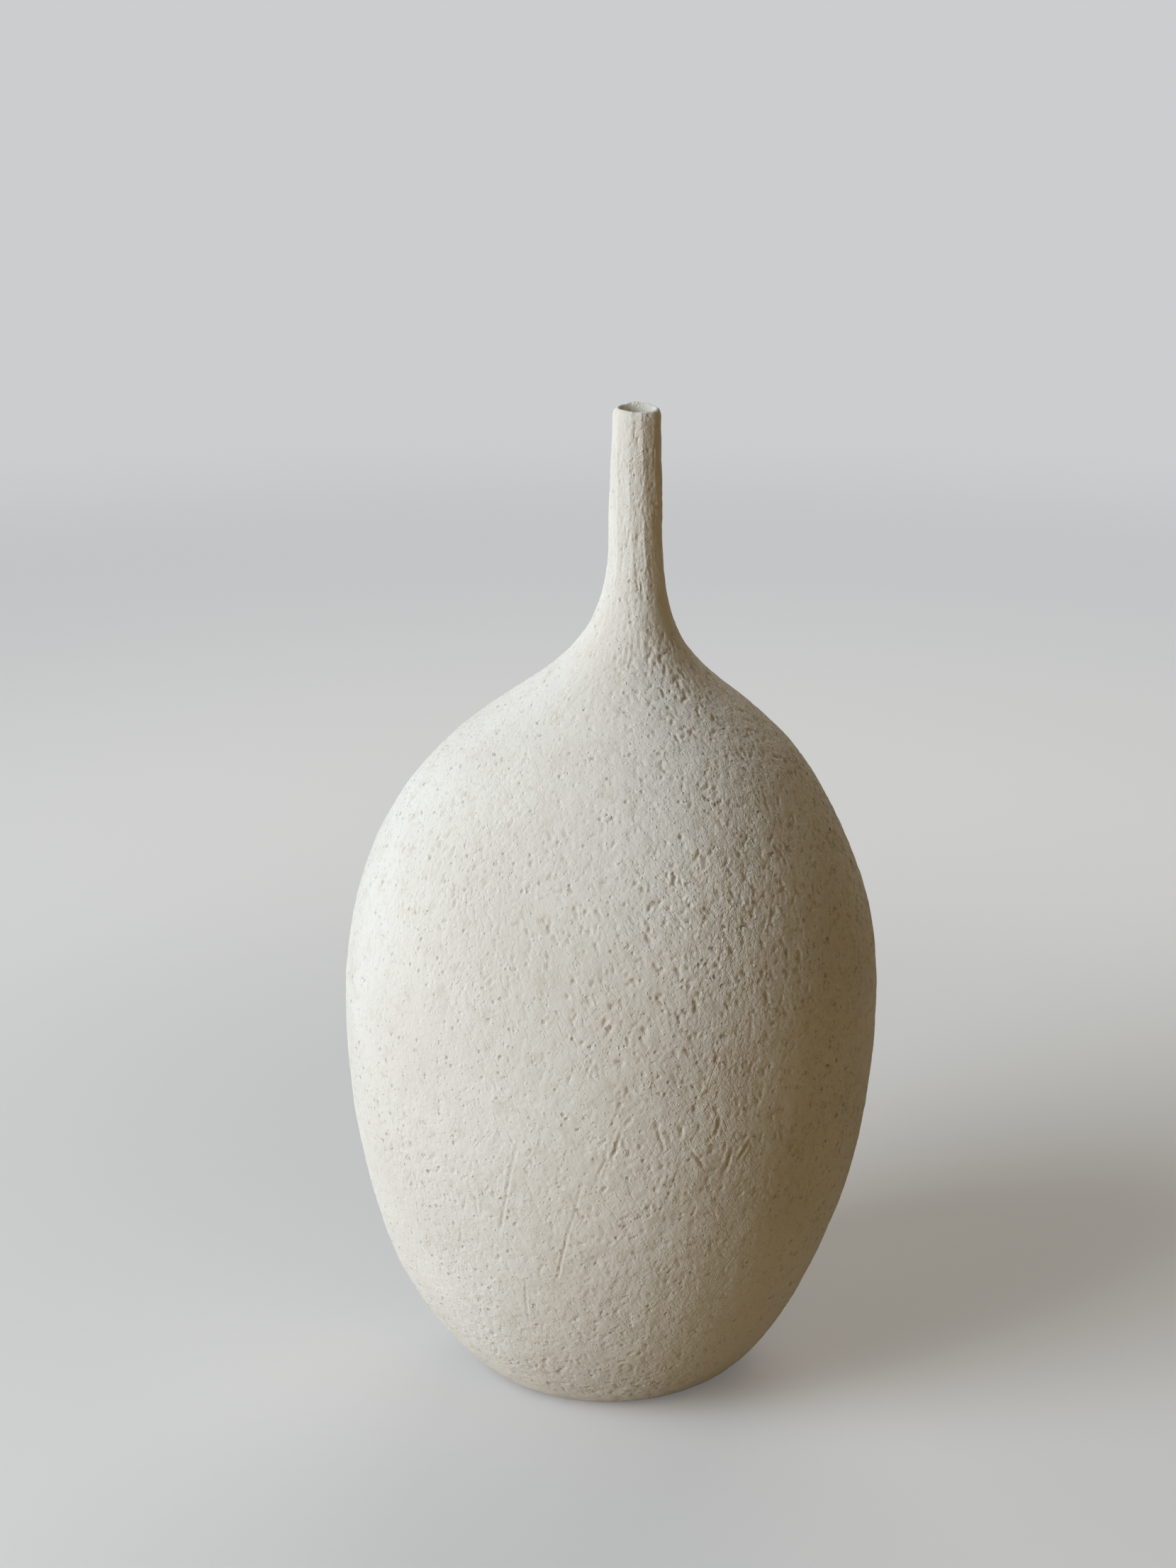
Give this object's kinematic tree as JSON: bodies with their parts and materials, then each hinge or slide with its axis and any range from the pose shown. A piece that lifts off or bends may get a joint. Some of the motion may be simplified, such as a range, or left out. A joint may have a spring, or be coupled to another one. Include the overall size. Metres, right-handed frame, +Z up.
{
  "type": "bud vase",
  "caption": "Matte off-white hand-built ceramic bud vase with a round belly and a thin off-axis neck that holds a single stem.",
  "frame": {"origin": "centre of the foot, on the surface the vase stands on", "axes": "+Z up along the body, +X towards the side the neck stands off to"},
  "size_m": [0.133, 0.133, 0.25],
  "materials": {
    "stoneware": "unglazed, matte, grogged clay with pits and tool scratches",
    "liner_glaze": "clear satin liner glaze"
  },
  "bodies": {
    "root": {"foot_slab": "stoneware", "course_1": "stoneware", "course_2": "stoneware", "course_3": "stoneware", "course_4": "stoneware", "shoulder": "stoneware", "neck_tube": "stoneware", "liner_belly": "liner_glaze", "liner_shoulder": "liner_glaze", "liner_neck": "liner_glaze"}
  },
  "joints": []
}
